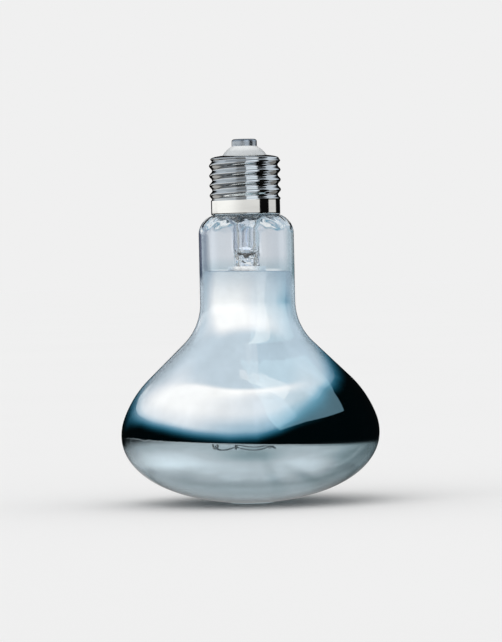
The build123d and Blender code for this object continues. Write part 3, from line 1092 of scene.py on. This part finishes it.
def pane_colour(light):
    """Light that a pane adds to the tent behind it: the paler the tent, the less."""

    def colour(up, turn):
        behind = tone(tent_level(turn, up))
        return tuple(TENT_GAIN * extra * max(1 - part, 0) for part, extra in zip(behind, light))

    return colour


def cap_light(turn):
    """Light that the flanks of the thread show: steel at the left, a white strip and a pale strip."""
    left = hump(turn, -150, -130, -38, -28)
    middle = hump(turn, -38, -28, 2, 5)
    strip = hump(turn, 2, 5, 44, 47)
    pale = hump(turn, 81, 84, 130, 150)
    return shade(STEEL_LIGHT, BLACK_LEVEL + left + 0.36 * middle + 1.9 * strip + 1.2 * pale)


def card_colour(angle, radius, height):
    """Colour of the far cards, which bare metal and the outer glass show."""
    turn, up = degrees(angle), height / MM
    if radius < CARD_RADIUS:
        return shade(STEEL_LIGHT, 0.6)
    above = ease(up, 140, 165)
    foot = 80 + 26 * (1 - ease(turn, -110, -90))
    band = ease(up, foot, foot + 8) * (1 - above)
    white = hump(turn, -150, -146, 46, 48) * (1.1 - 0.29 * ease(turn, -60, 0))
    pale = 0.74 * hump(turn, 81, 84, 117, 121)
    return tuple(BLACK_LEVEL + band * (white + pale) + above * part for part in cap_light(turn))


def foot_colour(angle, radius, height):
    """Colour of the dark foot: black beside the bulb, pale behind the face, steel below the cap."""
    turn, up = degrees(angle), height / MM
    behind = ease(abs(turn), 105, 125) * (1 - ease(up, 17, 20)) * (0.4 if turn < 0 else 0.2)
    under = 0.3 * (1 - ease(radius / MM, 25, 50))
    floor_share = 0.3 * ease(turn, -118, -95) + 0.4 * ease(turn, 0, 5) - 0.7 * ease(turn, 112, 120)
    below_cap = shade(cap_light(turn), floor_share * ease(radius / MM, 60, 80))
    return tuple(BLACK_LEVEL + max(behind, under) + part for part in below_cap)


def glow_finish(name, see_through):
    """Material that shines with the colours that its mesh carries, over what is behind it if see-through."""
    finish = bpy.data.materials.new(name)
    finish.use_nodes = True
    tree = finish.node_tree
    tree.nodes.clear()
    tones = add_node(tree, "Attribute")
    tones.attribute_name = "tone"
    glow = add_node(tree, "Emission")
    output = add_node(tree, "OutputMaterial")
    tree.links.new(tones.outputs["Color"], glow.inputs["Color"])
    surface = glow.outputs["Emission"]
    if see_through:
        clear = add_node(tree, "BsdfTransparent")
        both = add_node(tree, "AddShader")
        tree.links.new(surface, both.inputs[0])
        tree.links.new(clear.outputs["BSDF"], both.inputs[1])
        surface = both.outputs["Shader"]
    tree.links.new(surface, output.inputs["Surface"])
    return finish


def plain_in_mirror(finish):
    """Lets rays that the film has turned back show the plain tones of the mesh.

    Such a ray has been reflected, and it has crossed a skin of the glass four times, twice each way.
    """
    tree = finish.node_tree
    plain = add_node(tree, "Attribute")
    plain.attribute_name = "plain"
    rays = add_node(tree, "LightPath")
    crossings = add_node(tree, "Math")
    crossings.operation = "COMPARE"
    crossings.inputs[1].default_value = 4.0
    crossings.inputs[2].default_value = 0.5
    tree.links.new(rays.outputs["Transmission Depth"], crossings.inputs[0])
    mirrored = math_node(tree, "MULTIPLY", rays.outputs["Glossy Depth"], crossings.outputs["Value"])
    mirrored.node.use_clamp = True
    choice = mixed_colour(tree, "MIX")
    tree.links.new(mirrored, choice.inputs[0])
    tree.links.new(tree.nodes["Attribute"].outputs["Color"], choice.inputs[6])
    tree.links.new(plain.outputs["Color"], choice.inputs[7])
    tree.links.new(choice.outputs[2], tree.nodes["Emission"].inputs["Color"])
    return finish


def glow_wall(name, path, colour, finish, plain_colour=None):
    """Round wall along a path of (radius, height), with its colours by direction, radius and height."""
    bm = bmesh.new()
    tones = bm.verts.layers.float_color.new("tone")
    plain = bm.verts.layers.float_color.new("plain") if plain_colour else None
    columns = 240
    rings = []
    for place in path:
        ring = []
        for column in range(columns):
            angle = 2 * pi * column / columns - pi
            out, up = place(degrees(angle)) if callable(place) else place
            vertex = bm.verts.new((out * sin(angle), -out * cos(angle), up))
            vertex[tones] = (*colour(angle, out, up), 1.0)
            if plain:
                vertex[plain] = (*plain_colour(angle, out, up), 1.0)
            ring.append(vertex)
        rings.append(ring)
    for lower, upper in zip(rings, rings[1:]):
        join_rings(bm, lower, upper)
    return stage_mesh(name, bm, finish)


def glow_pane(name, rows, place, colour, finish):
    """Sheet of light between the two edges that its rows give along its length."""
    bm = bmesh.new()
    tones = bm.verts.layers.float_color.new("tone")
    columns = 36
    steps = 24
    lines = []
    for low, high in zip(rows, rows[1:]):
        for step in range(steps + (high is rows[-1])):
            along, first, last = blend(low, high, step / steps)
            line = []
            for column in range(columns + 1):
                across = first + (last - first) * column / columns
                vertex = bm.verts.new(place(along, across))
                vertex[tones] = (*colour(along, across), 1.0)
                line.append(vertex)
            lines.append(line)
    for lower, upper in zip(lines, lines[1:]):
        for column in range(columns):
            bm.faces.new((lower[column], lower[column + 1], upper[column + 1], upper[column]))
    return stage_mesh(name, bm, finish)


class BulbStageOperator(bpy.types.Operator):
    """Makes the floor, the light tent, the light and the camera"""

    bl_idname = "bulb.stage"
    bl_label = "Stage"

    def execute(self, context):
        stage = context.scene.bulb_stage
        self.make_world(stage)
        self.make_floor(stage)
        self.make_tent()
        self.make_light()
        self.make_camera(context, stage)
        context.scene.view_settings.view_transform = "Standard"
        return {"FINISHED"}

    def make_world(self, stage):
        """Even pale light; the eye, gloss and clear glass see the background's own tone."""
        world = bpy.data.worlds.new("pale_studio")
        bpy.context.scene.world = world
        world.use_nodes = True
        tree = world.node_tree
        tree.nodes.clear()
        rays = add_node(tree, "LightPath").outputs
        seen = math_node(tree, "MAXIMUM", rays["Is Camera Ray"], rays["Is Glossy Ray"])
        seen = math_node(tree, "MAXIMUM", seen, rays["Is Transmission Ray"])
        light = add_node(tree, "Background", Color=(1.0, 1.0, 1.0), Strength=WORLD_STRENGTH)
        ground = add_node(tree, "Background", Color=stage.ground)
        mix = add_node(tree, "MixShader")
        output = add_node(tree, "OutputWorld")
        tree.links.new(seen, mix.inputs["Fac"])
        tree.links.new(light.outputs["Background"], mix.inputs[1])
        tree.links.new(ground.outputs["Background"], mix.inputs[2])
        tree.links.new(mix.outputs["Shader"], output.inputs["Surface"])

    def make_floor(self, stage):
        """Wide pale floor that keeps the bulb's shadow."""
        finish = new_finish("pale_floor", Specular_IOR_Level=0.0)
        mottle(finish, shade(stage.ground, 0.995), shade(stage.ground, 1.005), 0.4)
        vary(finish, "Roughness", 0.85, 0.95, 0.3)
        bm = bmesh.new()
        close_ring(bm, ring_of(bm, 96, FLOOR_RADIUS, 0.0), 0.0)
        stage_mesh("floor", bm, finish)

    def make_tent(self):
        """Light tent that shows through glass, and the far cards that gloss shows."""
        finish = glow_finish("card_light", False)
        pane_finish = glow_finish("pane_light", True)

        def on_wall(up, turn):
            radius = TENT_RADIUS - 0.5 * MM
            return (radius * sin(radians(turn)), -radius * cos(radians(turn)), up * MM)

        def on_ceiling(right, front):
            return (right * MM, -front * MM, TENT_HEIGHT - 1 * MM)

        def ceiling_light(light):
            colour = pane_colour(light)
            return lambda right, front: colour(TENT_HEIGHT / MM, 0)

        base = 0.3 * MM
        floor_rows, wall_rows, ceiling_rows = 30, 160, 20
        crowding = 1.7
        floor = [(TENT_RADIUS * row / floor_rows, base) for row in range(1, floor_rows)]
        rises = [(TENT_HEIGHT - base) * (row / wall_rows) ** crowding for row in range(wall_rows + 1)]
        wall = [(TENT_RADIUS, base + rise) for rise in rises]
        ceiling = [(TENT_RADIUS * (1 - row / ceiling_rows), TENT_HEIGHT) for row in range(1, ceiling_rows)]
        tent_finish = plain_in_mirror(glow_finish("tent_light", False))
        through_glass = [
            glow_wall("light_tent", floor + wall + ceiling, tent_colour, tent_finish, plain_tent_colour),
        ]
        panes = (
            ("window", WINDOW_WALL, WINDOW_CEILING, WINDOW_LIGHT),
            ("leaf", LEAF_WALL, LEAF_CEILING, LEAF_LIGHT),
        )
        for name, wall_edges, ceiling_edges, light in panes:
            through_glass += [
                glow_pane(name + "_wall", wall_edges, on_wall, pane_colour(light), pane_finish),
                glow_pane(name + "_ceiling", ceiling_edges, on_ceiling, ceiling_light(light), pane_finish),
            ]

        def foot_edge(turn):
            middle, half = between(TENT_FOOT, turn)
            return (FOOT_RADIUS, (middle + 0.4 * half) * MM)

        card_rows, top_rows = 80, 10
        cards = [(CARD_RADIUS, CARD_HEIGHT * row / card_rows) for row in range(card_rows + 1)]
        cards += [(CARD_RADIUS * (1 - row / top_rows), CARD_HEIGHT) for row in range(1, top_rows)]
        foot = [foot_edge] + [(FOOT_RADIUS, up * MM) for up in (20, 17, 1)]
        foot += [(out * MM, 1 * MM) for out in (60, 80, 299)]
        under = [(2 * MM, 0.1 * MM), (14 * MM, 0.3 * MM)]
        under += [(out * MM, 1 * MM) for out in (25, 30, 35, 40, 45, 50, 53)]
        in_gloss = [
            glow_wall("far_cards", cards, card_colour, finish),
            glow_wall("dark_foot", foot, foot_colour, finish),
            glow_wall("under_face", under, foot_colour, finish),
        ]
        for thing in through_glass + in_gloss:
            hide_from(thing, "camera", "diffuse", "shadow", "volume_scatter")
        for thing in through_glass:
            hide_from(thing, "glossy")
        for thing in in_gloss:
            hide_from(thing, "transmission")

    def make_light(self):
        """Wide soft lamp from the upper left front."""
        lamp = bpy.data.lights.new("soft_lamp", "SUN")
        lamp.energy = LAMP_STRENGTH
        lamp.angle = LAMP_SPREAD
        thing = bpy.data.objects.new("soft_lamp", lamp)
        bpy.context.scene.collection.objects.link(thing)
        thing.rotation_mode = "QUATERNION"
        thing.rotation_quaternion = Vector(LAMP_HEADING).to_track_quat("-Z", "Y")
        hide_from(thing, "glossy", "transmission")

    def make_camera(self, context, stage):
        """Camera at the photograph's viewing angle."""
        data = bpy.data.cameras.new("photo_camera")
        data.lens = stage.lens
        data.sensor_width = 36.0
        data.clip_end = 100.0
        camera = bpy.data.objects.new("photo_camera", data)
        context.scene.collection.objects.link(camera)
        place = Vector((stage.aim_right, -stage.distance, stage.camera_height))
        aim = Vector((stage.aim_right, 0, stage.aim_height))
        turn = (aim - place).to_track_quat("-Z", "Y").to_matrix()
        roll = Matrix.Rotation(-stage.roll, 3, "Z")
        camera.matrix_world = Matrix.Translation(place) @ (turn @ roll).to_4x4()
        context.scene.camera = camera


OPERATORS = (
    BulbGlassOperator,
    BulbMirrorOperator,
    BulbShellOperator,
    BulbCapTopOperator,
    BulbStemOperator,
    BulbWiresOperator,
    BulbFilamentOperator,
    BulbStageOperator,
)

SETTINGS = {
    "bulb_glass": GlassSettings,
    "bulb_stem": StemSettings,
    "bulb_mirror": MirrorSettings,
    "bulb_cap": CapSettings,
    "bulb_wires": WireSettings,
    "bulb_stage": StageSettings,
}


class BulbPanel(bpy.types.Panel):
    """Lists the bulb's pieces and their sizes in the sidebar"""

    bl_idname = "VIEW3D_PT_basking_bulb"
    bl_label = "UV basking bulb"
    bl_space_type = "VIEW_3D"
    bl_region_type = "UI"
    bl_category = "Bulb"

    def draw(self, context):
        for operator in OPERATORS:
            self.layout.operator(operator.bl_idname)
        for name, group in SETTINGS.items():
            box = self.layout.box()
            for field in group.__annotations__:
                box.prop(getattr(context.scene, name), field)


def register():
    for name, group in SETTINGS.items():
        bpy.utils.register_class(group)
        setattr(bpy.types.Scene, name, PointerProperty(type=group))
    for operator in OPERATORS:
        bpy.utils.register_class(operator)
    bpy.utils.register_class(BulbPanel)


def unregister():
    bpy.utils.unregister_class(BulbPanel)
    for operator in reversed(OPERATORS):
        bpy.utils.unregister_class(operator)
    for name, group in SETTINGS.items():
        delattr(bpy.types.Scene, name)
        bpy.utils.unregister_class(group)


def main():
    register()
    bpy.ops.bulb.glass_envelope()
    bpy.ops.bulb.mirror_coating()
    bpy.ops.bulb.screw_shell()
    bpy.ops.bulb.cap_top()
    bpy.ops.bulb.stem()
    bpy.ops.bulb.wires()
    bpy.ops.bulb.filament()
    bpy.ops.bulb.stage()


if __name__ == "__main__":
    main()
